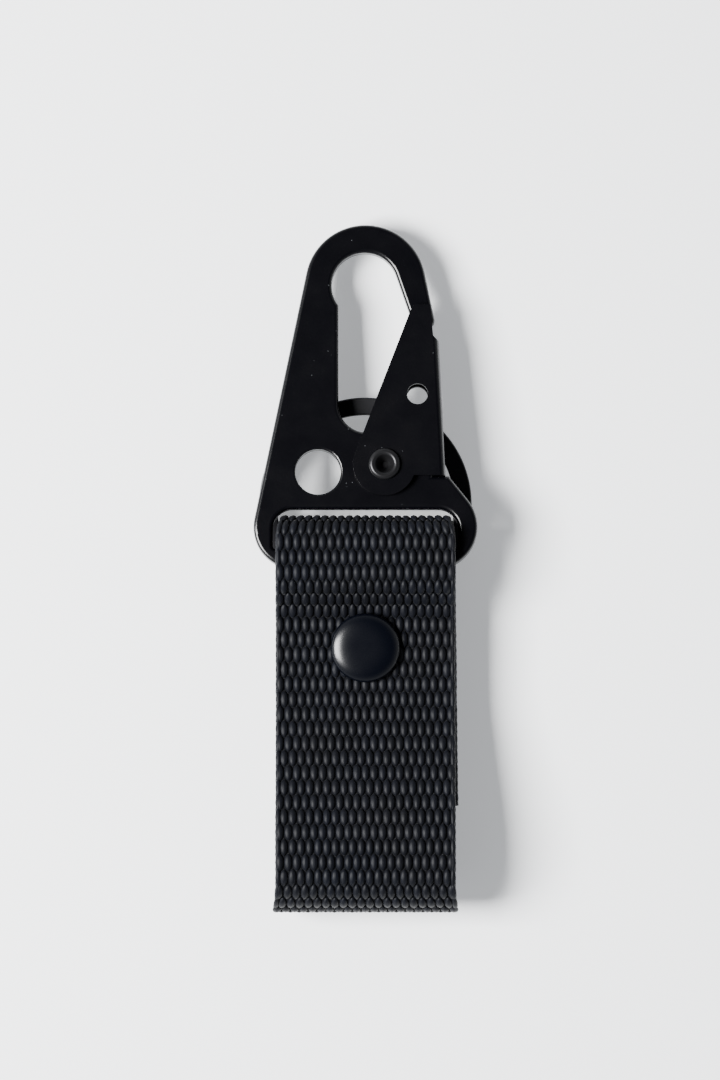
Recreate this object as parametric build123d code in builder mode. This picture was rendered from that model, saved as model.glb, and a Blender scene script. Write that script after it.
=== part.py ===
from build123d import *
import os
from math import cos, radians, sin, tan

# Key keeper: a sprung clip on a folded strap of webbing, with a press snap and a split ring.
# Millimetres. X is across the strap, +Y runs towards the hook and +Z is up from the table.
# The origin is the centre of the bounding box at table height.

# Slack allowed when a corner or an edge is picked out by its place or size.
PICK = 0.01

# ---- strap ----
STRAP_WIDTH = 25.4
STRAP_T = 1.6
LAYER_GAP = 0.1
FOLD_Y = -42.0
FOLD_OUTER_R = 6.5
FRONT_LOOP_TOP = 7.6
BACK_LOOP_TOP = 7.3
FRONT_TAIL_END = -33.1
BACK_TAIL_END = -30.0
BAR_LOOP_HEIGHT = 3.4
BEND_R = 1.1
LONG_BEND_R = 30.0
SHORT_BEND_R = 3.0
SLOPE_TOP_RUN = 4.5
SLOPE_FOOT_RUN = 8.4
CLAMP_RUN = 5.4
LOOP_RUN = 9.1
CLAMP_TOP_Y = -6.4
CLAMP_FOOT_Y = -7.85
LOOP_CORNER_FOOT = 3.3
LOOP_CORNER_MID = (11.85, 6.4)
LOOP_CORNER_X = 10.6
LOOP_CORNER_TOP = 7.9

# ---- clip: u is across and v is along it from the bar, in the clip's own plane ----
PLATE_T = 2.5
PLATE_ROUND = 0.55
HOLE_ROUND = 0.3
DROOP = 6.5
BAR_Y = 1.2
BAR_WIDTH = 2.8
HEAD_V = 38.9
HEAD_R = 8.5
FOOT_U = 9.7
FOOT_R = 6.0
FOOT_V = FOOT_R - BAR_WIDTH / 2
SIDE_ANGLE = 11.8
SHOULDER_V = 11.7
SHOULDER_ANGLE = 38.6
SLOT_HALF_WIDTH = 13.0
SLOT_TOP_V = 7.1
SLOT_TOP_ROUND = 2.8
SLOT_FOOT_ROUND = 0.5
LANYARD_HOLE = (-6.66, 12.33)
LANYARD_HOLE_R = 3.2
EYE_CENTRE = (-0.1, 38.75)
EYE_R = 4.65
ARM_ANGLE = 19.0
NOSE_V = 32.9
NOSE_ROUND = 0.9
WALL_U = -3.8
WALL_CORNER_R = 4.0
FLOOR_V = 17.92
PAD_R = 7.0
CUT_REACH = 20.0

# ---- gate, measured from its pivot ----
PIVOT_U = 2.66
PIVOT_V = 13.27
GATE_SHEET = 0.9
GATE_GAP = 0.1
GATE_BOSS_R = 4.4
GATE_SLANT = 21.0
GATE_OUTLINE_TOP = [(3.58, 21.6), (4.07, 22.6), (6.44, 22.65)]
GATE_JOG = [(6.84, 18.2), (7.64, 17.4)]
GATE_FOOT = (8.55, -1.54)
GATE_HOLE = (4.63, 9.95)
GATE_HOLE_R = 1.47
SPINE_SHEET = 1.0
SPINE_ROUND = 0.8
RIVET_R = 1.45
RUNNING_GAP = 0.05
RIVET_RIM_R = 2.18
RIVET_RIM_H = 0.6
RIVET_DIMPLE_R = 1.25
RIVET_HEAD_R = 2.3
RIVET_HEAD_H = 0.7
RIVET_HEAD_FLAT_R = 1.6
RIVET_HEAD_EDGE_H = 0.28
RIVET_RIM_CREST_R = 1.82
RIVET_LIP_H = 0.36
RIVET_DIMPLE_FOOT_R = 0.44

# ---- gate spring, in a notch of the frame beside the pivot ----
NOTCH_START = 3.2
NOTCH_LOW = 0.35
NOTCH_HIGH = 2.85
SPRING_WIRE_R = 0.2
SPRING_COIL_R = 0.95
SPRING_PITCH = 0.76
SPRING_TURNS = 5

# ---- split ring: two turns of flat wire, joined by one ramp ----
RING_Y = 9.1
RING_OUTER_R = 15.0
RING_INNER_R = 12.5
RING_CLEAR = 0.35
RING_TURN_T = 0.85
RING_STEP = 0.95
RING_SPLIT = 30.0
RING_ROUND = 0.25

# ---- press snap ----
SNAP_Y = -11.1
CAP_R = 4.85
CAP_FLAT_R = 3.1
CAP_H = 1.5
CAP_SHEET = 0.45
CAP_SHOULDER_R = 4.4
CAP_SHOULDER_DROP = 0.35
CAP_EDGE_H = 0.35
CAP_EDGE_MID = (0.12, 0.08)
CAP_CURL_W = 0.4
CAP_LIP_W = 1.0
CAP_LIP_H = 0.3
CAP_INNER_H = 0.4
CAP_INNER_R = 4.3
CAP_INNER_MID = (4.0, 0.3)
BARREL_R = 1.3
BARREL_BORE_R = 0.9
BARREL_FLANGE_R = 3.6
BARREL_FLANGE_T = 0.35
BARREL_ROLL_T = 0.25
BARREL_ROLL_W = 0.4
SOCKET_R = 4.0
SOCKET_MOUTH_R = 2.85
SOCKET_BORE_R = 2.2
SOCKET_WEB = 0.35
SOCKET_RIM_T = 0.25
SOCKET_SHOULDER_R = 3.5
SOCKET_SHOULDER_H = 0.85
STUD_FLANGE_R = 3.2
STUD_FLANGE_T = 0.35
STUD_NECK_R = 1.6
STUD_HEAD_R = 1.85
STUD_H = 1.45
STUD_HEAD_RISE = 0.2
STUD_CHAMFER = 0.15
POST_R = 1.05
POST_FLANGE_R = 4.2
POST_FLANGE_T = 0.45
RING_SPRING_R = 2.0
RING_SPRING_WIRE_R = 0.17
RING_SPRING_GAP = 40.0
GROOVE_RISE = 0.55
GROOVE_HALF = 0.25

# ---- heights of the stack, from the table up ----
half_strap = STRAP_T / 2
half_width = STRAP_WIDTH / 2
ring_z = STRAP_T + LAYER_GAP
ring_top = ring_z + RING_STEP + RING_TURN_T
back_tail_z = ring_top + LAYER_GAP + half_strap
back_loop_r = (back_tail_z - half_strap) / 2
back_clamp_z = STRAP_T + LAYER_GAP / 2 + half_strap
back_clamp_top = back_clamp_z + half_strap
front_tail_z = back_tail_z + STRAP_T + 2 * LAYER_GAP
front_tail_under = front_tail_z - half_strap
bar_z = front_tail_z + half_strap + BAR_LOOP_HEIGHT / 2
front_loop_r = (BAR_LOOP_HEIGHT + STRAP_T) / 2
front_loop_z = bar_z + front_loop_r
front_clamp_z = front_tail_z + STRAP_T + LAYER_GAP
front_clamp_top = front_clamp_z + half_strap
fold_r = FOLD_OUTER_R - half_strap
crest_z = FOLD_OUTER_R + fold_r

# ---- holes that the snap's barrel and post pass through ----
barrel_hole_r = BARREL_R + RUNNING_GAP
post_hole_r = POST_R + RUNNING_GAP

# ---- planes ----
# The clip lies in its own plane through the bar, with its hook end drooping to the table.
clip_up = (0, sin(radians(DROOP)), cos(radians(DROOP)))
clip_mid = Plane(origin=(0, BAR_Y, bar_z), x_dir=(1, 0, 0), z_dir=clip_up)
pivot_origin = clip_mid.from_local_coords(Vector(PIVOT_U, PIVOT_V, 0))
pivot_mid = Plane(origin=pivot_origin, x_dir=(1, 0, 0), z_dir=clip_up)
rivet_side = Plane(origin=pivot_origin, x_dir=(1, 0, 0), z_dir=pivot_mid.y_dir * -1)
snap_axis = Axis((0, SNAP_Y, 0), (0, 0, 1))
ring_axis = Axis((0, RING_Y, 0), (0, 0, 1))
snap_side = Plane(origin=(0, SNAP_Y, 0), x_dir=(1, 0, 0), z_dir=(0, -1, 0))
strap_side = Plane.YZ.offset(-half_width)
os.makedirs("parts", exist_ok=True)


def polar(centre, radius, angle):
    """A point on a circle, at an angle in degrees from the first axis."""
    turn = radians(angle)
    return (centre[0] + radius * cos(turn), centre[1] + radius * sin(turn))


def finish(builder, name):
    """Label a finished piece and write its file."""
    builder.part.label = name
    export_step(builder.part, f"parts/{name}.step")


# ---- clip frame: a stamped plate with a hook, a slot for the strap and a lanyard hole ----
arm_start = polar(EYE_CENTRE, EYE_R, ARM_ANGLE)
arm_end = (arm_start[0] + (arm_start[1] - NOSE_V) * tan(radians(ARM_ANGLE)), NOSE_V)
foot_centre = (FOOT_U, FOOT_V)
foot_top = polar(foot_centre, FOOT_R, SHOULDER_ANGLE)
foot_side = polar(foot_centre, FOOT_R, SIDE_ANGLE)
shoulder = (foot_top[0] - (SHOULDER_V - foot_top[1]) * tan(radians(SHOULDER_ANGLE)), SHOULDER_V)
pad_corner = (PIVOT_U + (PAD_R**2 - (FLOOR_V - PIVOT_V) ** 2) ** 0.5, FLOOR_V)
pad_end = (PIVOT_U + (PAD_R**2 - (PIVOT_V - SHOULDER_V) ** 2) ** 0.5, SHOULDER_V)
wall_corner = (WALL_U + WALL_CORNER_R, FLOOR_V + WALL_CORNER_R)

with BuildPart() as clip_frame:
    with BuildSketch(clip_mid.offset(-PLATE_T / 2)):
        with Locations((0, HEAD_V)):
            Circle(HEAD_R)
        with Locations(foot_centre, (-FOOT_U, FOOT_V)):
            Circle(FOOT_R)
        make_hull()
        # The eye of the hook, the throat below it and the mouth that the gate closes.
        with Locations(EYE_CENTRE):
            Circle(EYE_R, mode=Mode.SUBTRACT)
        with BuildLine():
            Polyline(EYE_CENTRE, (WALL_U, EYE_CENTRE[1]), (WALL_U, wall_corner[1]))
            CenterArc(wall_corner, WALL_CORNER_R, 180, 90)
            Line((wall_corner[0], FLOOR_V), pad_corner)
            ThreePointArc(pad_corner, (PIVOT_U + PAD_R, PIVOT_V), pad_end)
            Polyline(pad_end, shoulder, foot_top)
            CenterArc(foot_centre, FOOT_R, SHOULDER_ANGLE, SIDE_ANGLE - SHOULDER_ANGLE)
            Polyline(foot_side, (CUT_REACH, foot_side[1]), (CUT_REACH, NOSE_V), arm_end)
            Polyline(arm_end, arm_start, EYE_CENTRE)
        make_face(mode=Mode.SUBTRACT)
        nose_corners = vertices().filter_by_position(Axis.Y, NOSE_V - PICK, NOSE_V + PICK)
        fillet(nose_corners, NOSE_ROUND)
        # The slot that the strap runs through leaves the bar below it.
        with BuildLine():
            FilletPolyline(
                (-SLOT_HALF_WIDTH, BAR_WIDTH / 2),
                (SLOT_HALF_WIDTH, BAR_WIDTH / 2),
                (SLOT_HALF_WIDTH, SLOT_TOP_V),
                (-SLOT_HALF_WIDTH, SLOT_TOP_V),
                radius=(SLOT_FOOT_ROUND, SLOT_FOOT_ROUND, SLOT_TOP_ROUND, SLOT_TOP_ROUND),
                close=True,
            )
        make_face(mode=Mode.SUBTRACT)
    extrude(amount=PLATE_T)
    fillet(faces().filter_by(clip_mid).edges(), PLATE_ROUND)
    with Locations(clip_mid.offset(PLATE_T / 2)):
        with Locations(LANYARD_HOLE):
            Hole(LANYARD_HOLE_R)
    lanyard_rim = edges().filter_by(GeomType.CIRCLE)
    lanyard_rim = lanyard_rim.filter_by(lambda rim: abs(rim.radius - LANYARD_HOLE_R) < PICK)
    fillet(lanyard_rim, HOLE_ROUND)
    with Locations(pivot_mid.offset(PLATE_T / 2)):
        Hole(RIVET_R)
    # The notch that holds the gate's spring opens towards the gate's spine.
    with BuildSketch(pivot_mid.offset(-PLATE_T)):
        notch_centre = (NOTCH_START + PAD_R / 2, (NOTCH_LOW + NOTCH_HIGH) / 2)
        with Locations(notch_centre):
            Rectangle(PAD_R, NOTCH_HIGH - NOTCH_LOW)
    extrude(amount=2 * PLATE_T, mode=Mode.SUBTRACT)
finish(clip_frame, "clip_frame")

# ---- gate: a channel of folded sheet, its two cheeks astride the frame ----
cheek_inner = PLATE_T / 2 + GATE_GAP
cheek_outer = cheek_inner + GATE_SHEET
boss_tangent = polar((0, 0), GATE_BOSS_R, 180 - GATE_SLANT)
foot_drop = (GATE_BOSS_R**2 - GATE_FOOT[1] ** 2) ** 0.5
spine_top_inner = (GATE_JOG[1][0] - SPINE_SHEET, GATE_JOG[1][1])
spine_foot_inner = (GATE_FOOT[0] - SPINE_SHEET, GATE_FOOT[1])

with BuildPart() as gate:
    with BuildSketch(pivot_mid.offset(-cheek_outer)):
        Circle(GATE_BOSS_R)
        with BuildLine():
            Polyline(
                (0, 0),
                boss_tangent,
                *GATE_OUTLINE_TOP,
                *GATE_JOG,
                GATE_FOOT,
                (foot_drop, GATE_FOOT[1]),
                close=True,
            )
        make_face()
        with Locations(GATE_HOLE):
            Circle(GATE_HOLE_R, mode=Mode.SUBTRACT)
    extrude(amount=2 * cheek_outer)
    spine_edges = edges().filter_by(
        lambda edge: (pivot_mid.to_local_coords(edge.center()).X > GATE_JOG[1][0] + PICK)
        and abs(pivot_mid.to_local_coords(edge.center()).Z) > cheek_inner
        and edge.length > GATE_OUTLINE_TOP[0][1] / 2
    )
    fillet(spine_edges, SPINE_ROUND)
    # The space between the cheeks, open everywhere but at the spine.
    with BuildSketch(pivot_mid.offset(-cheek_inner)):
        with BuildLine():
            Polyline(
                (-CUT_REACH, -CUT_REACH),
                (spine_foot_inner[0], -CUT_REACH),
                spine_foot_inner,
                spine_top_inner,
                (CUT_REACH, spine_top_inner[1]),
                (CUT_REACH, 2 * CUT_REACH),
                (-CUT_REACH, 2 * CUT_REACH),
                close=True,
            )
        make_face()
    extrude(amount=2 * cheek_inner, mode=Mode.SUBTRACT)
    with Locations(pivot_mid.offset(cheek_outer)):
        Hole(RIVET_R + RUNNING_GAP)
finish(gate, "gate")

# ---- gate rivet: semi-tubular, its rolled rim in front and its head behind ----
rim_seat = cheek_outer + GATE_GAP
with BuildPart() as gate_rivet:
    with BuildSketch(rivet_side):
        with BuildLine():
            Polyline(
                (0, -rim_seat - RIVET_HEAD_H),
                (RIVET_HEAD_FLAT_R, -rim_seat - RIVET_HEAD_H),
                (RIVET_HEAD_R, -rim_seat - RIVET_HEAD_EDGE_H),
                (RIVET_HEAD_R, -rim_seat),
                (RIVET_R, -rim_seat),
                (RIVET_R, rim_seat),
                (RIVET_RIM_R, rim_seat),
            )
            ThreePointArc(
                (RIVET_RIM_R, rim_seat),
                (RIVET_RIM_CREST_R, rim_seat + RIVET_RIM_H),
                (RIVET_DIMPLE_R, rim_seat + RIVET_LIP_H),
            )
            Polyline(
                (RIVET_DIMPLE_R, rim_seat + RIVET_LIP_H),
                (RIVET_DIMPLE_FOOT_R, rim_seat - RIVET_DIMPLE_R),
                (0, rim_seat - RIVET_DIMPLE_R),
                (0, -rim_seat - RIVET_HEAD_H),
            )
        make_face()
    revolve(axis=Axis(pivot_origin, Vector(*clip_up)))
finish(gate_rivet, "gate_rivet")

# ---- gate spring: a short compression coil that pushes the spine outwards ----
spring_start = Vector(NOTCH_START + SPRING_WIRE_R, (NOTCH_LOW + NOTCH_HIGH) / 2, 0)
with BuildPart() as gate_spring:
    with BuildLine() as coil:
        Helix(
            SPRING_PITCH,
            SPRING_PITCH * SPRING_TURNS,
            SPRING_COIL_R,
            center=pivot_mid.from_local_coords(spring_start),
            direction=(1, 0, 0),
        )
    with BuildSketch(Plane(origin=coil.line @ 0, z_dir=coil.line % 0)):
        Circle(SPRING_WIRE_R)
    sweep(is_frenet=True)
finish(gate_spring, "gate_spring")

# ---- front strap: from the fold over the snap, round the clip's bar and back inside ----
slope_top = (FOLD_Y + SLOPE_TOP_RUN, crest_z)
slope_foot = (SNAP_Y - SLOPE_FOOT_RUN, front_clamp_z)
slope = (slope_top[1] - slope_foot[1]) / (slope_foot[0] - slope_top[0])
tail_rise = front_clamp_z - (STRAP_T + LAYER_GAP) * (1 + slope**2) ** 0.5
tail_bend_y = slope_foot[0] - (front_tail_z - tail_rise) / slope
tail_end = (FRONT_TAIL_END, tail_rise + slope * (slope_foot[0] - FRONT_TAIL_END))
front_loop_y = FRONT_LOOP_TOP - front_loop_r - half_strap

with BuildPart() as front_strap:
    with BuildSketch(strap_side):
        with BuildLine():
            FilletPolyline(
                (FOLD_Y, crest_z),
                slope_top,
                slope_foot,
                (SNAP_Y + CLAMP_RUN, front_clamp_z),
                (SNAP_Y + LOOP_RUN, front_loop_z),
                (front_loop_y, front_loop_z),
                radius=(LONG_BEND_R, LONG_BEND_R, SHORT_BEND_R, SHORT_BEND_R),
            )
            CenterArc((front_loop_y, bar_z), front_loop_r, 90, -180)
            FilletPolyline(
                (front_loop_y, front_tail_z),
                (tail_bend_y, front_tail_z),
                tail_end,
                radius=LONG_BEND_R,
            )
        trace(line_width=STRAP_T)
    extrude(amount=STRAP_WIDTH)
    # The slot draws the loop's two corners in.
    with BuildSketch():
        with BuildLine():
            Polyline(
                (LOOP_CORNER_X, LOOP_CORNER_TOP),
                (CUT_REACH, LOOP_CORNER_TOP),
                (CUT_REACH, LOOP_CORNER_FOOT),
                (half_width, LOOP_CORNER_FOOT),
            )
            ThreePointArc(
                (half_width, LOOP_CORNER_FOOT),
                LOOP_CORNER_MID,
                (LOOP_CORNER_X, LOOP_CORNER_TOP),
            )
        make_face()
        mirror(about=Plane.YZ)
    extrude(amount=CUT_REACH, mode=Mode.SUBTRACT)
    with Locations((0, SNAP_Y, front_clamp_z)):
        Hole(barrel_hole_r)
finish(front_strap, "front_strap")

# ---- strap fold: the belt loop's end, where the strap turns over ----
with BuildPart() as strap_fold:
    with BuildSketch(strap_side):
        with BuildLine():
            CenterArc((FOLD_Y, FOLD_OUTER_R), fold_r, 90, 180)
        trace(line_width=STRAP_T)
    extrude(amount=STRAP_WIDTH)
finish(strap_fold, "strap_fold")

# ---- back strap: flat on the table, round the split ring and back inside ----
back_loop_y = BACK_LOOP_TOP - back_loop_r - half_strap
with BuildPart() as back_strap:
    with BuildSketch(strap_side):
        with BuildLine():
            Line((FOLD_Y, half_strap), (back_loop_y, half_strap))
            CenterArc((back_loop_y, half_strap + back_loop_r), back_loop_r, -90, 180)
            FilletPolyline(
                (back_loop_y, back_tail_z),
                (CLAMP_TOP_Y, back_tail_z),
                (CLAMP_FOOT_Y, back_clamp_z),
                (BACK_TAIL_END, back_clamp_z),
                radius=BEND_R,
            )
        trace(line_width=STRAP_T)
    extrude(amount=STRAP_WIDTH)
    # The ring squeezes the loop's sides where it passes through.
    with BuildSketch(Plane.XY.offset(STRAP_T)):
        with Locations((0, RING_Y)):
            Circle(RING_OUTER_R + RING_CLEAR)
            Circle(RING_INNER_R - RING_CLEAR, mode=Mode.SUBTRACT)
    extrude(amount=ring_top + LAYER_GAP - STRAP_T, mode=Mode.SUBTRACT)
    # The snap's post runs through both layers, its flange let into the underside.
    with Locations((0, SNAP_Y, back_clamp_z)):
        Hole(post_hole_r)
    with BuildSketch():
        with Locations((0, SNAP_Y)):
            Circle(POST_FLANGE_R + RUNNING_GAP)
    extrude(amount=POST_FLANGE_T, mode=Mode.SUBTRACT)
    # The stud's flange presses into the tail.
    with BuildSketch(Plane.XY.offset(back_clamp_top)):
        with Locations((0, SNAP_Y)):
            Circle(STUD_FLANGE_R + RUNNING_GAP)
    extrude(amount=STUD_FLANGE_T + RUNNING_GAP, mode=Mode.SUBTRACT)
finish(back_strap, "back_strap")

# ---- split ring: two flat turns joined by a ramp ----
with BuildPart() as split_ring:
    ring_mid_r = (RING_OUTER_R + RING_INNER_R) / 2
    ring_start = polar((0, RING_Y), ring_mid_r, RING_SPLIT)
    ring_face = Plane(
        origin=(*ring_start, 0),
        x_dir=(*polar((0, 0), 1, RING_SPLIT), 0),
        z_dir=(*polar((0, 0), 1, RING_SPLIT - 90), 0),
    )
    for turn_z in (ring_z, ring_z + RING_STEP):
        with BuildSketch(ring_face):
            with Locations((0, turn_z + RING_TURN_T / 2)):
                RectangleRounded(RING_OUTER_R - RING_INNER_R, RING_TURN_T, RING_ROUND)
        revolve(axis=ring_axis, revolution_arc=360 - RING_SPLIT)
    with BuildLine() as ramp:
        Helix(
            RING_STEP * 360 / RING_SPLIT,
            RING_STEP,
            ring_mid_r,
            center=(0, RING_Y, ring_z + RING_TURN_T / 2),
        )
    with BuildSketch(Plane(origin=ramp.line @ 0, x_dir=(1, 0, 0), z_dir=(0, 1, 0))):
        RectangleRounded(RING_OUTER_R - RING_INNER_R, RING_TURN_T, RING_ROUND)
    sweep(is_frenet=True)
finish(split_ring, "split_ring")

# ---- snap cap: a domed shell, rolled in under its rim ----
cap_seat = front_clamp_top + RUNNING_GAP
cap_top = front_clamp_top + CAP_H
cap_inner_top = cap_top - CAP_SHEET
with BuildPart() as snap_cap:
    with BuildSketch(snap_side):
        with BuildLine():
            Line((0, cap_top), (CAP_FLAT_R, cap_top))
            ThreePointArc(
                (CAP_FLAT_R, cap_top),
                (CAP_SHOULDER_R, cap_top - CAP_SHOULDER_DROP),
                (CAP_R, cap_seat + CAP_EDGE_H),
            )
            ThreePointArc(
                (CAP_R, cap_seat + CAP_EDGE_H),
                (CAP_R - CAP_EDGE_MID[0], cap_seat + CAP_EDGE_MID[1]),
                (CAP_R - CAP_CURL_W, cap_seat),
            )
            Polyline(
                (CAP_R - CAP_CURL_W, cap_seat),
                (CAP_R - CAP_LIP_W, cap_seat),
                (CAP_R - CAP_LIP_W, cap_seat + CAP_LIP_H),
                (CAP_INNER_R, cap_seat + CAP_INNER_H),
            )
            ThreePointArc(
                (CAP_INNER_R, cap_seat + CAP_INNER_H),
                (CAP_INNER_MID[0], cap_inner_top - CAP_INNER_MID[1]),
                (CAP_FLAT_R, cap_inner_top),
            )
            Polyline((CAP_FLAT_R, cap_inner_top), (0, cap_inner_top), (0, cap_top))
        make_face()
    revolve(axis=snap_axis)
finish(snap_cap, "snap_cap")

# ---- turned snap parts, each an outline of (radius, height) points about the snap's axis ----
socket_web_z = front_tail_under - SOCKET_WEB
barrel_foot = socket_web_z - BARREL_ROLL_T
barrel_roll_r = BARREL_R + BARREL_ROLL_W
cap_inner_z = cap_seat + BARREL_FLANGE_T
socket_foot = back_clamp_top + STUD_FLANGE_T + LAYER_GAP
groove_z = socket_foot + GROOVE_RISE
groove_r = RING_SPRING_R + RING_SPRING_WIRE_R + LAYER_GAP
groove_low = groove_z - GROOVE_HALF
groove_high = groove_z + GROOVE_HALF
stud_foot = back_clamp_top
stud_neck_foot = stud_foot + STUD_FLANGE_T
stud_top = stud_foot + STUD_H

turned_outlines = {
    # The flanged eyelet that holds the cap and the socket to the strap.
    "snap_cap_barrel": [
        (BARREL_BORE_R, barrel_foot),
        (barrel_roll_r, barrel_foot),
        (barrel_roll_r, socket_web_z),
        (BARREL_R, socket_web_z),
        (BARREL_R, cap_seat),
        (BARREL_FLANGE_R, cap_seat),
        (BARREL_FLANGE_R, cap_inner_z),
        (BARREL_BORE_R, cap_inner_z),
    ],
    # The cup on the inside of the front strap, grooved for its ring spring.
    "snap_socket": [
        (barrel_hole_r, front_tail_under),
        (SOCKET_R, front_tail_under),
        (SOCKET_R, front_tail_under - SOCKET_RIM_T),
        (SOCKET_SHOULDER_R, socket_foot + SOCKET_SHOULDER_H),
        (SOCKET_MOUTH_R, socket_foot),
        (SOCKET_BORE_R, socket_foot),
        (SOCKET_BORE_R, groove_low),
        (groove_r, groove_low),
        (groove_r, groove_high),
        (SOCKET_BORE_R, groove_high),
        (SOCKET_BORE_R, socket_web_z),
        (barrel_hole_r, socket_web_z),
    ],
    # The necked boss on the inside of the back strap.
    "snap_stud": [
        (post_hole_r, stud_foot),
        (STUD_FLANGE_R, stud_foot),
        (STUD_FLANGE_R, stud_neck_foot),
        (STUD_NECK_R, stud_neck_foot),
        (STUD_NECK_R, groove_z),
        (STUD_HEAD_R, groove_z + STUD_HEAD_RISE),
        (STUD_HEAD_R, stud_top - STUD_CHAMFER),
        (STUD_NECK_R, stud_top),
        (post_hole_r, stud_top),
    ],
    # The flanged rivet behind the back strap that holds the stud.
    "snap_post": [
        (0, 0),
        (POST_FLANGE_R, 0),
        (POST_FLANGE_R, POST_FLANGE_T),
        (POST_R, POST_FLANGE_T),
        (POST_R, stud_top),
        (0, stud_top),
    ],
}
for name, outline in turned_outlines.items():
    with BuildPart() as turned:
        with BuildSketch(snap_side):
            with BuildLine():
                Polyline(*outline, close=True)
            make_face()
        revolve(axis=snap_axis)
    finish(turned, name)

# ---- snap socket spring: an open wire ring that grips the stud's neck ----
with BuildPart() as snap_socket_spring:
    with BuildSketch(snap_side):
        with Locations((RING_SPRING_R, groove_z)):
            Circle(RING_SPRING_WIRE_R)
    revolve(axis=snap_axis, revolution_arc=360 - RING_SPRING_GAP)
finish(snap_socket_spring, "snap_socket_spring")
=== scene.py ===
# %% [markdown]
# # A key keeper: sprung clip, folded webbing, press snap and split ring
# Every size is in metres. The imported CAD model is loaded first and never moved. Most steel parts
# keep their CAD shapes and get a coating here. The webbing is woven again, yarn by yarn, along the
# strap's path, and the snap's cap, the gate and the gate's spring get meshes of their own.

# %% Load the frame
import bpy
from math import cos, pi, radians, sin
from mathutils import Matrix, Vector


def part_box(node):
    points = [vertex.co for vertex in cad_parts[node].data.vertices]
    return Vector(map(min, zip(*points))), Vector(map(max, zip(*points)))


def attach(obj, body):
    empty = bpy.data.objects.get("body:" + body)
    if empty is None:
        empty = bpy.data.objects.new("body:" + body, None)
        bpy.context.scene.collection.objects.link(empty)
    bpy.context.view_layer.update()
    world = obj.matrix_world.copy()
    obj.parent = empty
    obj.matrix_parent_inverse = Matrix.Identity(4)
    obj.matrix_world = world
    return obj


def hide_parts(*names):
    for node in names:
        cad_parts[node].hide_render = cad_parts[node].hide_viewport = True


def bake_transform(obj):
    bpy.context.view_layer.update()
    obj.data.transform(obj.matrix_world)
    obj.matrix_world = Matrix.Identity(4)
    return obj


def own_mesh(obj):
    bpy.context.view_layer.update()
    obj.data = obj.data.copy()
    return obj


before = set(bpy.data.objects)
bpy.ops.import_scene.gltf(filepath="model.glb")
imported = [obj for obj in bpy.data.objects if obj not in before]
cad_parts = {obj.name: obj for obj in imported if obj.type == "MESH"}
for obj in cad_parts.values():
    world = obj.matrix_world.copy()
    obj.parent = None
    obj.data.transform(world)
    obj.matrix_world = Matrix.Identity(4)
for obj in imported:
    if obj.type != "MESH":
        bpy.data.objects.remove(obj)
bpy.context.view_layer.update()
print("nodes:", sorted(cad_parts))

MM = 0.001


# %% Object helpers
def new_object(name, data):
    """An object in the scene that shows a mesh, a curve, a light or a camera."""
    obj = bpy.data.objects.new(name, data)
    bpy.context.collection.objects.link(obj)
    return obj


def settle(obj):
    """Turn an object's modifiers into a plain mesh."""
    bpy.context.view_layer.update()
    graph = bpy.context.evaluated_depsgraph_get()
    mesh = bpy.data.meshes.new_from_object(obj.evaluated_get(graph), depsgraph=graph)
    obj.modifiers.clear()
    obj.data = mesh


def cad_copy(name, node_name):
    """An object with its own copy of a CAD node's mesh, in world coordinates."""
    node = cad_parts[node_name]
    mesh = node.data.copy()
    mesh.transform(node.matrix_world)
    return new_object(name, mesh)


# %% [markdown]
# ## The strap's path
# The real strap is one length of webbing. It starts as a tail inside the front, goes round the
# clip's bar, runs over the snap to the fold, comes back along the table, goes round the split
# ring and ends as a second tail. A list of points with a small radius at each gives that line,
# because a strap bends in arcs with straight stretches between them.

# %% Path values
STRAP_T = 1.6 * MM
LAYER_GAP = 0.1 * MM
FRONT_LOOP_R = 2.5 * MM
BACK_CLAMP_Z = 2.45 * MM
# Distances along y from the fold, and from the snap's axis.
SLOPE_TOP_RUN = 4.5 * MM
SLOPE_FOOT_RUN = 8.4 * MM
CLAMP_RUN = 5.4 * MM
LOOP_RUN = 9.1 * MM
# Places on y. Both tails are hidden inside the strap, so where they end is a guess.
FRONT_TAIL_END = -33.1 * MM
BACK_TAIL_END = -30 * MM
BACK_BEND_TOP = -6.4 * MM
BACK_BEND_FOOT = -7.85 * MM
# Radii of the bends.
LONG_BEND_R = 30 * MM
SHORT_BEND_R = 3 * MM
BACK_BEND_R = 1.1 * MM
# How finely the path is drawn.
SAME_POINT = 0.01 * MM
ARC_STEPS = 10


# %% Path helpers
def rounded_path(points, radii):
    """Points (y, z) of a line whose corners are arcs: one radius for each inner point."""
    out = [Vector(points[0])]
    for before, here, after, radius in zip(points, points[1:], points[2:], radii):
        here = Vector(here)
        to_start = (Vector(before) - here).normalized()
        to_end = (Vector(after) - here).normalized()
        half = to_start.angle(to_end) / 2
        run = radius / abs(sin(half) / cos(half))
        centre = here + (to_start + to_end).normalized() * (radius / sin(half))
        first = here + to_start * run - centre
        last = here + to_end * run - centre
        for step in range(ARC_STEPS + 1):
            mix = first.lerp(last, step / ARC_STEPS).normalized()
            out.append(centre + mix * radius)
    out.append(Vector(points[-1]))
    return out


def half_turn(centre, radius, start, sweep):
    """Points (y, z) of an arc from one angle in degrees through a sweep."""
    steps = 4 * ARC_STEPS
    turns = [radians(start + sweep * i / steps) for i in range(steps + 1)]
    return [Vector((centre[0] + radius * cos(t), centre[1] + radius * sin(t))) for t in turns]


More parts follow.
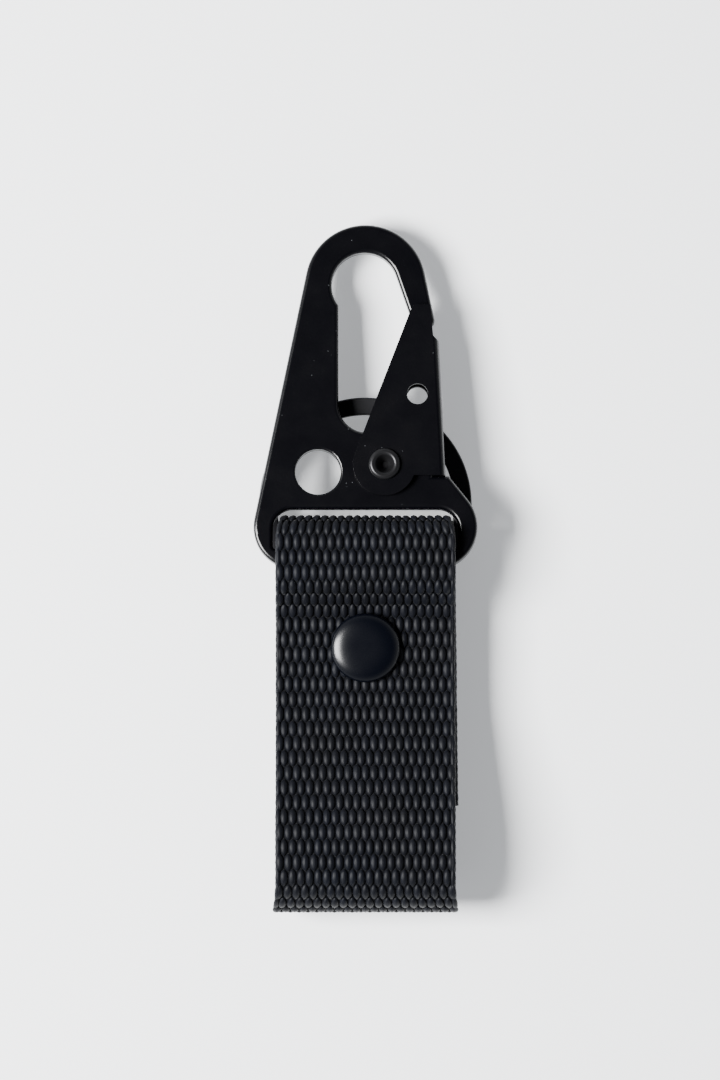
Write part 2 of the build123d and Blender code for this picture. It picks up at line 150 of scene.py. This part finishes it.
# %% Heights and places, read from the CAD solids
half_t = STRAP_T / 2
front_low, front_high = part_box("front_strap")
back_low, back_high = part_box("back_strap")
fold_low, fold_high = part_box("strap_fold")
fold_y = fold_high[1]
fold_z = fold_high[2] / 2
fold_r = fold_z - half_t
crest_z = fold_high[2] - half_t
snap_y = (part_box("snap_cap")[0][1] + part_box("snap_cap")[1][1]) / 2
front_tail_z = front_low[2] + half_t
front_clamp_z = front_tail_z + STRAP_T + LAYER_GAP
bar_z = front_tail_z + FRONT_LOOP_R
front_loop_z = bar_z + FRONT_LOOP_R
front_loop_y = front_high[1] - FRONT_LOOP_R - half_t
back_tail_z = back_high[2] - half_t
back_loop_r = (back_tail_z - half_t) / 2
back_loop_y = back_high[1] - back_loop_r - half_t
slope_top_y = fold_y + SLOPE_TOP_RUN
slope_foot_y = snap_y - SLOPE_FOOT_RUN
slope = (crest_z - front_clamp_z) / (slope_foot_y - slope_top_y)
tail_gap = (STRAP_T + LAYER_GAP) * (1 + slope**2) ** 0.5
tail_line_z = front_clamp_z - tail_gap
tail_bend_y = slope_foot_y - (front_tail_z - tail_line_z) / slope
print(f"fold at y {fold_y / MM:.1f} mm, bar at z {bar_z / MM:.2f} mm")

# %% Whole path, from the front tail to the back tail
front_path = rounded_path(
    [
        (FRONT_TAIL_END, tail_line_z + slope * (slope_foot_y - FRONT_TAIL_END)),
        (tail_bend_y, front_tail_z),
        (front_loop_y, front_tail_z),
    ],
    [LONG_BEND_R],
)
front_path += half_turn((front_loop_y, bar_z), FRONT_LOOP_R, -90, 180)
front_path += rounded_path(
    [
        (front_loop_y, front_loop_z),
        (snap_y + LOOP_RUN, front_loop_z),
        (snap_y + CLAMP_RUN, front_clamp_z),
        (slope_foot_y, front_clamp_z),
        (slope_top_y, crest_z),
        (fold_y, crest_z),
    ],
    [SHORT_BEND_R, SHORT_BEND_R, LONG_BEND_R, LONG_BEND_R],
)
fold_path = half_turn((fold_y, fold_z), fold_r, 90, 180)
back_path = [Vector((fold_y, half_t)), Vector((back_loop_y, half_t))]
back_path += half_turn((back_loop_y, half_t + back_loop_r), back_loop_r, -90, 180)
back_path += rounded_path(
    [
        (back_loop_y, back_tail_z),
        (BACK_BEND_TOP, back_tail_z),
        (BACK_BEND_FOOT, BACK_CLAMP_Z),
        (BACK_TAIL_END, BACK_CLAMP_Z),
    ],
    [BACK_BEND_R, BACK_BEND_R],
)


def path_length(points):
    """Length of a line of points."""
    return sum((b - a).length for a, b in zip(points, points[1:]))


front_length = path_length(front_path)
fold_length = path_length(fold_path)
back_length = path_length(back_path)
strap_length = front_length + fold_length + back_length
print(f"strap: {strap_length / MM:.1f} mm of webbing")


def path_curve(name, points):
    """A poly curve object in the plane x = 0, without doubled points."""
    kept = [points[0]]
    for point in points[1:]:
        if (point - kept[-1]).length > SAME_POINT:
            kept.append(point)
    data = bpy.data.curves.new(name, "CURVE")
    data.dimensions = "3D"
    spline = data.splines.new("POLY")
    spline.points.add(len(kept) - 1)
    for spline_point, point in zip(spline.points, kept):
        spline_point.co = (0, point[0], point[1], 1)
    return new_object(name, data)


strap_line = path_curve("strap_line", front_path + fold_path + back_path)
print("path points:", len(strap_line.data.splines[0].points))

# %% [markdown]
# ## Node helpers
# Materials and Geometry Nodes are both node trees, so two short helpers build either: one adds a
# node and sets its inputs, the other joins sockets.


# %% Node helpers
def add(tree, kind, inputs=None, **settings):
    """A new node with its settings, and its inputs set to values or joined to sockets."""
    node = tree.nodes.new(kind)
    for key, value in settings.items():
        setattr(node, key, value)
    for key, value in (inputs or {}).items():
        if isinstance(value, bpy.types.NodeSocket):
            tree.links.new(value, node.inputs[key])
        else:
            node.inputs[key].default_value = value
    return node


def calc(tree, operation, a, b=0.0, c=0.0):
    """One step of arithmetic in a Geometry Nodes or shader tree."""
    return add(tree, "ShaderNodeMath", {0: a, 1: b, 2: c}, operation=operation).outputs[0]


# %% [markdown]
# ## Webbing, yarn by yarn
# The webbing is warp-faced: rows of fat ovals called floats, each row shifted by half a rib, so
# they lock together. One float is a UV sphere made slimmer towards both ends. The tree lays rows of
# them flat, as (across, along, height), adds the edge yarns and a core, and then wraps the whole
# mat round the path with Sample Curve. Laying it flat first keeps the rows even on every bend.


# %% Webbing tree
FLOAT_SIZE = (0.63 * MM, 1.22 * MM, 0.48 * MM)
FLOAT_TAPER = 0.35
FLOAT_RISE = 0.17
EDGE_SIZE = (0.42 * MM, 1.4 * MM, 0.4 * MM)
EDGE_RISE = 0.3 * MM
EDGE_STAGGER = 0.45
EDGE_PLACE = 0.485
CORE_SHARE = 0.34


def webbing_tree():
    """The node group that weaves a piece of the strap and wraps it round the path."""
    tree = bpy.data.node_groups.new("webbing", "GeometryNodeTree")
    face = tree.interface
    sizes = {
        "Rib Pitch": 1.2 * MM,
        "Row Pitch": 2.1 * MM,
        "Thickness": STRAP_T,
        "From": 0.0,
        "To": 0.1,
        "Tail Shift": 0.0,
        "Tail Length": 40.0 * MM,
        "Pinch Start": 2.0 * MM,
        "Pinch End": 7.0 * MM,
        "Pinch": 0.9,
        "Flare Start": -43.0 * MM,
        "Flare End": -48.0 * MM,
        "Flare": 1.035,
    }
    face.new_socket("Path", in_out="INPUT", socket_type="NodeSocketObject")
    for label, value in sizes.items():
        face.new_socket(label, in_out="INPUT", socket_type="NodeSocketFloat").default_value = value
    for label in ("Ribs", "First Row", "Rows", "Seed"):
        face.new_socket(label, in_out="INPUT", socket_type="NodeSocketInt").default_value = 1
    face.new_socket("Material", in_out="INPUT", socket_type="NodeSocketMaterial")
    face.new_socket("Geometry", in_out="OUTPUT", socket_type="NodeSocketGeometry")
    given = add(tree, "NodeGroupInput").outputs

    # One float: a sphere with its poles along the strap, slimmer towards both ends.
    ball = add(tree, "GeometryNodeMeshUVSphere", {"Segments": 8, "Rings": 6, "Radius": 1.0})
    turned = add(
        tree, "GeometryNodeTransform", {"Geometry": ball.outputs["Mesh"], "Rotation": (pi / 2, 0, 0)}
    )
    spot = add(tree, "ShaderNodeSeparateXYZ", {0: add(tree, "GeometryNodeInputPosition").outputs[0]})
    along = calc(tree, "ABSOLUTE", spot.outputs["Y"])
    taper = calc(tree, "MULTIPLY", calc(tree, "POWER", along, 3.0), FLOAT_TAPER)
    narrow = calc(tree, "SUBTRACT", 1.0, taper)
    slim = calc(tree, "MULTIPLY", spot.outputs["X"], narrow)
    pointed = add(tree, "ShaderNodeCombineXYZ", {0: slim, 1: spot.outputs["Y"], 2: spot.outputs["Z"]})
    almond = add(
        tree, "GeometryNodeSetPosition", {"Geometry": turned.outputs[0], "Position": pointed.outputs[0]}
    )
    smooth = add(tree, "GeometryNodeSetShadeSmooth", {"Geometry": almond.outputs[0]}).outputs[0]

    def mat(columns, height, odd_drop, size, x_of, label_seed, stagger=0.0):
        """Rows of floats at one height, moved along by a share of a row. x_of gives the place across."""
        count = calc(tree, "MULTIPLY", columns, given["Rows"])
        points = add(tree, "GeometryNodePoints", {"Count": count})
        index = add(tree, "GeometryNodeInputIndex").outputs[0]
        column = calc(tree, "MODULO", index, columns)
        row = calc(tree, "FLOOR", calc(tree, "DIVIDE", calc(tree, "ADD", index, 0.5), columns))
        whole_row = calc(tree, "ADD", row, given["First Row"])
        odd = calc(tree, "MODULO", whole_row, 2.0)
        y = calc(tree, "MULTIPLY", calc(tree, "ADD", whole_row, stagger), given["Row Pitch"])
        place = add(tree, "ShaderNodeCombineXYZ", {0: x_of(column, odd), 1: y, 2: height})
        set_place = add(
            tree,
            "GeometryNodeSetPosition",
            {"Geometry": points.outputs[0], "Position": place.outputs[0]},
        )
        cloud = set_place.outputs[0]
        if odd_drop:
            last = calc(tree, "GREATER_THAN", column, calc(tree, "SUBTRACT", columns, 1.5))
            spare = calc(tree, "MULTIPLY", last, odd)
            cloud = add(
                tree,
                "GeometryNodeDeleteGeometry",
                {"Geometry": cloud, "Selection": spare},
                domain="POINT",
            ).outputs[0]
        wobble = add(
            tree,
            "FunctionNodeRandomValue",
            {"Min": (0.94, 0.96, 0.94), "Max": (1.05, 1.05, 1.05), "Seed": given["Seed"]},
            data_type="FLOAT_VECTOR",
        ).outputs[0]
        scale = add(tree, "ShaderNodeVectorMath", {0: wobble, 1: size}, operation="MULTIPLY").outputs[0]
        placed = add(
            tree, "GeometryNodeInstanceOnPoints", {"Points": cloud, "Instance": smooth, "Scale": scale}
        ).outputs[0]
        shade = add(
            tree,
            "FunctionNodeRandomValue",
            {"Seed": label_seed},
            data_type="FLOAT",
        ).outputs[1]
        named = add(
            tree,
            "GeometryNodeStoreNamedAttribute",
            {"Geometry": placed, "Name": "yarn", "Value": shade},
            data_type="FLOAT",
            domain="INSTANCE",
        )
        return named.outputs[0]

    centred = calc(tree, "MULTIPLY", calc(tree, "SUBTRACT", given["Ribs"], 1.0), 0.5)

    def rib_x(column, odd):
        """Place across of a rib's float. Odd rows sit half a rib further over."""
        half_rib = calc(tree, "MULTIPLY", odd, 0.5)
        shifted = calc(tree, "ADD", calc(tree, "SUBTRACT", column, centred), half_rib)
        return calc(tree, "MULTIPLY", shifted, given["Rib Pitch"])

    edge_ribs = calc(tree, "MULTIPLY", given["Ribs"], EDGE_PLACE)
    edge_x = calc(tree, "MULTIPLY", edge_ribs, given["Rib Pitch"])

    def selvedge_x(column, odd):
        """Place across of an edge yarn: one column on each side."""
        side = calc(tree, "SUBTRACT", calc(tree, "MULTIPLY", column, 2.0), 1.0)
        return calc(tree, "MULTIPLY", side, edge_x)

    rise = calc(tree, "MULTIPLY", given["Thickness"], FLOAT_RISE)
    fall = calc(tree, "MULTIPLY", rise, -1.0)
    mats = [
        mat(given["Ribs"], rise, True, FLOAT_SIZE, rib_x, 11),
        mat(given["Ribs"], fall, True, FLOAT_SIZE, rib_x, 12),
        mat(2, EDGE_RISE, False, EDGE_SIZE, selvedge_x, 13),
        mat(2, -EDGE_RISE, False, EDGE_SIZE, selvedge_x, 14, EDGE_STAGGER),
    ]
    # The core is a thin box that closes the gaps between the floats. Its yarn value of -1 has the nylon
    # paint it darker, as painted shade in those gaps.
    length = calc(tree, "SUBTRACT", given["To"], given["From"])
    core_width = calc(tree, "MULTIPLY", edge_x, 2.0)
    core_t = calc(tree, "MULTIPLY", given["Thickness"], CORE_SHARE)
    core_size = add(tree, "ShaderNodeCombineXYZ", {0: core_width, 1: length, 2: core_t}).outputs[0]
    core = add(
        tree,
        "GeometryNodeMeshCube",
        {"Size": core_size, "Vertices X": 12, "Vertices Y": 260, "Vertices Z": 2},
    )
    middle = calc(tree, "MULTIPLY", calc(tree, "ADD", given["To"], given["From"]), 0.5)
    core_shift = add(tree, "ShaderNodeCombineXYZ", {1: middle}).outputs[0]
    core_moved = add(
        tree,
        "GeometryNodeTransform",
        {"Geometry": core.outputs["Mesh"], "Translation": core_shift},
    ).outputs[0]
    core_named = add(
        tree,
        "GeometryNodeStoreNamedAttribute",
        {"Geometry": core_moved, "Name": "yarn", "Value": -1.0},
        data_type="FLOAT",
        domain="POINT",
    ).outputs[0]
    joined = add(tree, "GeometryNodeJoinGeometry")
    for part in mats + [core_named]:
        tree.links.new(part, joined.inputs[0])
    real = add(tree, "GeometryNodeRealizeInstances", {"Geometry": joined.outputs[0]}).outputs[0]

    # Keep the flat place as an attribute for the material, then wrap round the path.
    flat_place = add(tree, "GeometryNodeInputPosition").outputs[0]
    noted = add(
        tree,
        "GeometryNodeStoreNamedAttribute",
        {"Geometry": real, "Name": "flat", "Value": flat_place},
        data_type="FLOAT_VECTOR",
        domain="POINT",
    ).outputs[0]
    flat = add(tree, "ShaderNodeSeparateXYZ", {0: add(tree, "GeometryNodeInputPosition").outputs[0]})
    path = add(tree, "GeometryNodeObjectInfo", {"Object": given["Path"]}).outputs["Geometry"]
    sample = add(
        tree,
        "GeometryNodeSampleCurve",
        {"Curves": path, "Length": flat.outputs["Y"]},
        mode="LENGTH",
    )
    outward = add(
        tree,
        "ShaderNodeVectorMath",
        {0: sample.outputs["Tangent"], 1: (1, 0, 0)},
        operation="CROSS_PRODUCT",
    ).outputs[0]
    unit = add(tree, "ShaderNodeVectorMath", {0: outward}, operation="NORMALIZE").outputs[0]
    lift = add(
        tree, "ShaderNodeVectorMath", {0: unit, "Scale": flat.outputs["Z"]}, operation="SCALE"
    ).outputs[0]
    on_path = add(
        tree, "ShaderNodeVectorMath", {0: sample.outputs["Position"], 1: lift}, operation="ADD"
    ).outputs[0]
    line_y = add(tree, "ShaderNodeSeparateXYZ", {0: on_path}).outputs["Y"]
    pinched = add(
        tree, "ShaderNodeMapRange", {0: line_y, 1: given["Pinch Start"], 2: given["Pinch End"]}
    ).outputs[0]
    most_lost = calc(tree, "SUBTRACT", 1.0, given["Pinch"])
    lost = calc(tree, "MULTIPLY", calc(tree, "POWER", pinched, 2.0), most_lost)
    flared = add(
        tree, "ShaderNodeMapRange", {0: line_y, 1: given["Flare Start"], 2: given["Flare End"]}
    ).outputs[0]
    most_gained = calc(tree, "SUBTRACT", given["Flare"], 1.0)
    gained = calc(tree, "MULTIPLY", calc(tree, "POWER", flared, 2.0), most_gained)
    squeeze = calc(tree, "ADD", calc(tree, "SUBTRACT", 1.0, lost), gained)
    tail_shift = add(
        tree,
        "ShaderNodeMapRange",
        {0: flat.outputs["Y"], 1: 0.0, 2: given["Tail Length"], 3: given["Tail Shift"], 4: 0.0},
    ).outputs[0]
    across = calc(tree, "ADD", calc(tree, "MULTIPLY", flat.outputs["X"], squeeze), tail_shift)
    across_vector = add(tree, "ShaderNodeCombineXYZ", {0: across}).outputs[0]
    final = add(tree, "ShaderNodeVectorMath", {0: on_path, 1: across_vector}, operation="ADD").outputs[0]
    wrapped = add(tree, "GeometryNodeSetPosition", {"Geometry": noted, "Position": final}).outputs[0]
    painted = add(
        tree, "GeometryNodeSetMaterial", {"Geometry": wrapped, "Material": given["Material"]}
    ).outputs[0]
    add(tree, "NodeGroupOutput", {0: painted})
    return tree


webbing_nodes = webbing_tree()
print("webbing tree:", len(webbing_nodes.nodes), "nodes")

# %% [markdown]
# ## Materials
# All are Principled shaders. Most metals are a satin black coating, with fine mottling in the
# roughness and a few dust specks on the clip and the gate. The springs are bare wire. The webbing
# is dyed nylon: each float gets its own slight random tone and fibre lines run along it, and the
# core between the floats is painted darker as painted shade in the gaps. The black finishes were
# tuned in this studio's light, so their base colours are probably darker than a real coating's.


# %% Coated metal
COAT_SPECULAR = 0.3
BROAD_GRAIN = 0.3
FINE_GRAIN = 6
FINE_MOTTLE = 0.06
SPECK_GRAIN = 1.3
SPECK_SIZE = 0.05
SPECK_SPREAD = 0.06
SPECK_PATCH = 0.58
DUST_COLOUR = (0.16, 0.17, 0.18, 1)


def coated_metal(name, colour, roughness, mottle=0.1, dust=0.0, grain=900.0, metallic=0.0):
    """A metal finish. mottle varies the roughness, and dust is the strength of the specks."""
    material = bpy.data.materials.new(name)
    material.use_nodes = True
    tree = material.node_tree
    shader = tree.nodes["Principled BSDF"]
    shader.inputs["Metallic"].default_value = metallic
    shader.inputs["Specular IOR Level"].default_value = COAT_SPECULAR
    place = add(tree, "ShaderNodeTexCoord").outputs["Object"]
    broad_noise = {"Vector": place, "Scale": grain * BROAD_GRAIN, "Detail": 4.0}
    broad = add(tree, "ShaderNodeTexNoise", broad_noise).outputs[0]
    fine_noise = {"Vector": place, "Scale": grain * FINE_GRAIN, "Detail": 3.0}
    fine = add(tree, "ShaderNodeTexNoise", fine_noise).outputs[0]
    rough = calc(tree, "MULTIPLY_ADD", broad, mottle, roughness - mottle / 2)
    rough = calc(tree, "MULTIPLY_ADD", fine, FINE_MOTTLE, rough)
    tree.links.new(rough, shader.inputs["Roughness"])
    speck_cells = {"Vector": place, "Scale": grain * SPECK_GRAIN}
    specks = add(tree, "ShaderNodeTexVoronoi", speck_cells).outputs["Distance"]
    is_speck = calc(tree, "LESS_THAN", specks, SPECK_SIZE + dust * SPECK_SPREAD)
    amount = calc(tree, "MULTIPLY", is_speck, calc(tree, "GREATER_THAN", broad, SPECK_PATCH))
    amount = calc(tree, "MULTIPLY", amount, dust)
    shade = add(
        tree,
        "ShaderNodeMix",
        {"Factor": amount, "A": (*colour, 1), "B": DUST_COLOUR},
        data_type="RGBA",
    )
    tree.links.new(shade.outputs["Result"], shader.inputs["Base Color"])
    bump = add(tree, "ShaderNodeBump", {"Height": fine, "Strength": 0.12, "Distance": 0.00002})
    tree.links.new(bump.outputs[0], shader.inputs["Normal"])
    return material


clip_coat = coated_metal("clip_coating", (0.0008, 0.0008, 0.0014), 0.2, dust=0.35)
gate_coat = coated_metal("gate_coating", (0.0007, 0.0007, 0.0013), 0.22, dust=0.3)
rivet_coat = coated_metal("rivet_coating", (0.012, 0.012, 0.013), 0.3, metallic=0.6)
ring_coat = coated_metal("ring_coating", (0.004, 0.004, 0.005), 0.3)
cap_coat = coated_metal("cap_coating", (0.0005, 0.0008, 0.0021), 0.22, mottle=0.06)
snap_coat = coated_metal("snap_coating", (0.01, 0.01, 0.011), 0.4)
spring_coat = coated_metal("spring_wire", (0.3, 0.3, 0.31), 0.3, metallic=1.0)
print("metal finishes:", len(bpy.data.materials))


# %% Woven nylon
FIBRE_STRETCH = (9000, 700, 9000)
FIBRE_CONTRAST = 0.9
FIBRE_FLOOR = 0.35
YARN_CONTRAST = 0.35
YARN_FLOOR = 0.8
DARKEST = 0.05
YARN_ROUGH = 0.42
FIBRE_ROUGH = 0.2
CORE_ROUGH = 0.4
NYLON_COOL = (0.0013, 0.0021, 0.0052, 1)
NYLON_GREY = (0.003, 0.003, 0.004, 1)


def woven_nylon(name):
    """Nylon webbing. It reads the yarn and flat attributes that the webbing tree stores."""
    material = bpy.data.materials.new(name)
    material.use_nodes = True
    tree = material.node_tree
    shader = tree.nodes["Principled BSDF"]
    shader.inputs["Sheen Weight"].default_value = 0.03
    shader.inputs["Sheen Roughness"].default_value = 0.4
    shader.inputs["Specular IOR Level"].default_value = 0.11
    yarn = add(tree, "ShaderNodeAttribute", attribute_name="yarn").outputs["Fac"]
    flat = add(tree, "ShaderNodeAttribute", attribute_name="flat").outputs["Vector"]
    stretched = add(tree, "ShaderNodeMapping", {"Vector": flat, "Scale": FIBRE_STRETCH}).outputs[0]
    fibre_noise = {"Vector": stretched, "Scale": 1.0, "Detail": 3.0}
    fibres = add(tree, "ShaderNodeTexNoise", fibre_noise).outputs[0]
    broad_noise = {"Vector": flat, "Scale": 90.0, "Detail": 2.0}
    broad = add(tree, "ShaderNodeTexNoise", broad_noise).outputs[0]
    light = calc(tree, "MULTIPLY_ADD", fibres, FIBRE_CONTRAST, FIBRE_FLOOR)
    # Floats get a random tone from their yarn value. The core's value of -1 makes it darker, which is
    # painted shade in the gaps between the floats.
    yarn_tone_and_gap_shade = calc(tree, "MULTIPLY_ADD", yarn, YARN_CONTRAST, YARN_FLOOR)
    light = calc(tree, "MULTIPLY", light, yarn_tone_and_gap_shade)
    light = calc(tree, "MAXIMUM", light, DARKEST)
    tone = add(
        tree,
        "ShaderNodeMix",
        {"Factor": broad, "A": NYLON_COOL, "B": NYLON_GREY},
        data_type="RGBA",
    )
    colour = add(
        tree,
        "ShaderNodeVectorMath",
        {0: tone.outputs["Result"], "Scale": light},
        operation="SCALE",
    )
    tree.links.new(colour.outputs[0], shader.inputs["Base Color"])
    is_core = calc(tree, "LESS_THAN", yarn, 0.0)
    rough = calc(tree, "MULTIPLY_ADD", fibres, FIBRE_ROUGH, YARN_ROUGH)
    rough = calc(tree, "MULTIPLY_ADD", is_core, CORE_ROUGH, rough)
    tree.links.new(rough, shader.inputs["Roughness"])
    bump = add(tree, "ShaderNodeBump", {"Height": fibres, "Strength": 0.6, "Distance": 0.00006})
    tree.links.new(bump.outputs[0], shader.inputs["Normal"])
    return material


nylon = woven_nylon("woven_nylon")

# %% [markdown]
# ## Weave the three pieces of strap
# The front rides with the flap and the back with the base. The fold between them is a piece of its
# own that rides with neither. All three share one path, and the rows are counted along the whole
# strap, so the pattern runs through the joins.

# %% Weave
RIB_PITCH = 1.2 * MM
ROW_PITCH = 2.1 * MM
RIBS = 21
TAIL_SHIFT = 0.4 * MM
# A piece's first row may sit up to 0.2 of a row before its start. Its last row sits at least 0.3
# of a row before its end.
FIRST_ROW_SHARE = 0.8
LAST_ROW_SHARE = 0.3


def weave(name, start, end, seed, pinch_start, pinch_end, pinch):
    """A piece of webbing between two lengths along the strap, as a plain mesh."""
    holder = new_object(name, bpy.data.meshes.new(name))
    modifier = holder.modifiers.new("webbing", "NODES")
    modifier.node_group = webbing_nodes
    first_row = int(start / ROW_PITCH + FIRST_ROW_SHARE)
    last_row = int(end / ROW_PITCH - LAST_ROW_SHARE)
    values = {
        "Path": strap_line,
        "Rib Pitch": RIB_PITCH,
        "Row Pitch": ROW_PITCH,
        "Thickness": STRAP_T,
        "From": start,
        "To": end,
        "Tail Shift": TAIL_SHIFT,
        "Pinch Start": pinch_start,
        "Pinch End": pinch_end,
        "Pinch": pinch,
        "Ribs": RIBS,
        "First Row": first_row,
        "Rows": last_row - first_row + 1,
        "Seed": seed,
        "Material": nylon,
    }
    for item in webbing_nodes.interface.items_tree:
        if item.name in values and item.in_out == "INPUT":
            modifier[item.identifier] = values[item.name]
    settle(holder)
    holder.data.name = name
    print(f"{name}: {last_row - first_row + 1} rows, {len(holder.data.polygons)} faces")
    return holder


fold_start = front_length
fold_end = front_length + fold_length
front_webbing = weave(
    "front_webbing", 0.0, fold_start, seed=1, pinch_start=4.2 * MM, pinch_end=7.6 * MM, pinch=0.93
)
fold_webbing = weave(
    "fold_webbing", fold_start, fold_end, seed=2, pinch_start=3.0 * MM, pinch_end=7.6 * MM, pinch=1.0
)
# The ring squeezes the back loop, so that end of the strap is drawn in to clear it.
back_webbing = weave(
    "back_webbing",
    fold_end,
    strap_length,
    seed=3,
    pinch_start=1.5 * MM,
    pinch_end=5.2 * MM,
    pinch=0.925,
)
bpy.data.objects.remove(strap_line)

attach(front_webbing, "strap_flap")
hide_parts("front_strap")
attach(back_webbing, "strap_base")
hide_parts("back_strap")
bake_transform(fold_webbing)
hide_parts("strap_fold")

# %% [markdown]
# ## Coat the steel
# These CAD meshes already have the right shapes, so each only takes its finish. The gate and its
# spring are shown by copies made further down, and a copy takes its node's finish with it. The
# cap's node is left out, because a new mesh with a finish of its own stands in for it.

# %% Finishes for the CAD nodes
finishes = {
    "clip_frame": clip_coat,
    "gate": gate_coat,
    "gate_rivet": rivet_coat,
    "gate_spring": spring_coat,
    "snap_cap_barrel": snap_coat,
    "snap_socket": snap_coat,
    "snap_socket_spring": spring_coat,
    "snap_stud": snap_coat,
    "snap_post": snap_coat,
    "split_ring": ring_coat,
}
for node_name, material in finishes.items():
    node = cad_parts[node_name]
    for material_slot in node.material_slots:
        material_slot.material = material
print("finished nodes:", len(finishes))

# %% [markdown]
# ## Dome the snap's cap
# A press-snap cap is drawn from sheet, so its top falls away in one smooth curve and its rim is
# rolled under. A profile of (radius, height) points turned about the snap's axis gives both.

# %% Snap cap
CAP_TURNS = 72
CAP_PROFILE = 16
CAP_FULLNESS = 3.6
CAP_CROWN = 2.1
CAP_RIM_H = 0.38 * MM
CAP_RIM_START = 0.3
CAP_LIP = 0.72
CAP_ROLL = 0.93
CAP_RIM = 0.985
cap_low, cap_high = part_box("snap_cap")
cap_r = (cap_high[0] - cap_low[0]) / 2
dome_h = cap_high[2] - cap_low[2] - CAP_RIM_H
profile = [
    (cap_r * CAP_LIP, cap_low[2]),
    (cap_r * CAP_ROLL, cap_low[2]),
    (cap_r * CAP_RIM, cap_low[2] + CAP_RIM_H * CAP_RIM_START),
]
for step in range(CAP_PROFILE + 1):
    lean = pi / 2 * step / CAP_PROFILE
    out = cap_r * cos(lean) ** (2 / CAP_FULLNESS)
    profile.append((out, cap_low[2] + CAP_RIM_H + dome_h * sin(lean) ** (2 / CAP_CROWN)))


def turned(name, points, centre):
    """A mesh object made by turning (radius, height) points about an upright axis."""
    rings = len(points)
    turns = [2 * pi * i / CAP_TURNS for i in range(CAP_TURNS)]
    places = [(centre[0] + r * cos(t), centre[1] + r * sin(t), z) for t in turns for r, z in points]
    faces = []
    for i in range(CAP_TURNS):
        here, ahead = i * rings, (i + 1) % CAP_TURNS * rings
        faces += [(here + j, ahead + j, ahead + j + 1, here + j + 1) for j in range(rings - 1)]
    mesh = bpy.data.meshes.new(name)
    mesh.from_pydata(places, [], faces)
    mesh.shade_smooth()
    return new_object(name, mesh)


snap_dome = turned("snap_dome", profile, ((cap_low[0] + cap_high[0]) / 2, snap_y))
snap_dome.data.materials.append(cap_coat)
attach(snap_dome, "strap_flap")
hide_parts("snap_cap")

# %% [markdown]
# ## Ease the gate's edges
# Stamped sheet has a small round on every edge, and that round is what catches the light.

# %% Gate
GATE_EDGE = 0.13 * MM
GATE_WELD = 0.001 * MM
GATE_CORNER = 40
gate_sheet = cad_copy("gate_sheet", "gate")
weld = gate_sheet.modifiers.new("weld", "WELD")
weld.merge_threshold = GATE_WELD
ease = gate_sheet.modifiers.new("ease", "BEVEL")
ease.width = GATE_EDGE
ease.segments = 3
ease.limit_method = "ANGLE"
ease.angle_limit = radians(GATE_CORNER)
settle(gate_sheet)
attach(gate_sheet, "gate_lever")
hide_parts("gate")

# %% [markdown]
# ## The gate spring
# The coil is pressed between the frame and the gate's spine. Here it is a copy of its CAD mesh that
# rides with the clip.

# %% Gate spring
spring_coil = cad_copy("spring_coil", "gate_spring")
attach(spring_coil, "clip")
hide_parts("gate_spring")
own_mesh(spring_coil)

# %% [markdown]
# ## Studio: floor, light and camera
# A pale floor, a large soft light from the left and a surround that is bright at the horizon and
# dark overhead, so flat black faces stay black and only edges catch light. The camera looks straight
# down from 900 mm.

# %% Floor
FLOOR_REACH = 1.5
FLOOR_DROP = 0.02 * MM
floor_mesh = bpy.data.meshes.new("floor")
floor_mesh.from_pydata(
    [(x * FLOOR_REACH, y * FLOOR_REACH, 0) for x, y in ((-1, -1), (1, -1), (1, 1), (-1, 1))],
    [],
    [(0, 1, 2, 3)],
)
floor = new_object("floor", floor_mesh)
floor.location.z = -FLOOR_DROP
paper = bpy.data.materials.new("paper")
paper.use_nodes = True
paper_shader = paper.node_tree.nodes["Principled BSDF"]
paper_shader.inputs["Base Color"].default_value = (0.82, 0.83, 0.84, 1)
paper_shader.inputs["Roughness"].default_value = 0.9
paper_shader.inputs["Emission Color"].default_value = (0.95, 0.97, 1.0, 1)
paper_shader.inputs["Emission Strength"].default_value = 0.35
floor_mesh.materials.append(paper)

# %% Lights
FADE_START = 0.25
FADE_END = 0.85
HORIZON_LIGHT = 1.0
ZENITH_LIGHT = 0.03
KEY_PLACE = (-0.46, -0.03, 0.52)
KEY_SIZE = 0.32
KEY_POWER = 26.0
world = bpy.data.worlds.new("surround")
bpy.context.scene.world = world
world.use_nodes = True
sky = world.node_tree
way = add(sky, "ShaderNodeTexCoord").outputs["Generated"]
up = add(sky, "ShaderNodeSeparateXYZ", {0: way}).outputs["Z"]
fade = {0: up, 1: FADE_START, 2: FADE_END, 3: HORIZON_LIGHT, 4: ZENITH_LIGHT}
level = add(sky, "ShaderNodeMapRange", fade).outputs[0]
sky.nodes["Background"].inputs["Color"].default_value = (0.93, 0.96, 1.0, 1)
sky.links.new(level, sky.nodes["Background"].inputs["Strength"])


def soft_light(name, place, size, power):
    """A square area light that looks at the middle of the object."""
    data = bpy.data.lights.new(name, "AREA")
    data.size = size
    data.energy = power
    lamp = new_object(name, data)
    lamp.location = place
    lamp.rotation_euler = (-Vector(place)).to_track_quat("-Z", "Y").to_euler()


soft_light("key_light", KEY_PLACE, KEY_SIZE, KEY_POWER)

# %% Camera
CAMERA_HEIGHT = 0.9
SENSOR = 36.0
VIEW_HEIGHT = 0.1515
FOCUS_Z = 0.008
CAMERA_PLACE = (-0.77 * MM, 4.0 * MM, CAMERA_HEIGHT)
camera_data = bpy.data.cameras.new("camera")
camera_data.sensor_fit = "VERTICAL"
camera_data.sensor_height = SENSOR
camera_data.lens = SENSOR * (CAMERA_HEIGHT - FOCUS_Z) / VIEW_HEIGHT
camera_data.clip_start = 0.01
camera = new_object("camera", camera_data)
camera.location = CAMERA_PLACE
bpy.context.scene.camera = camera
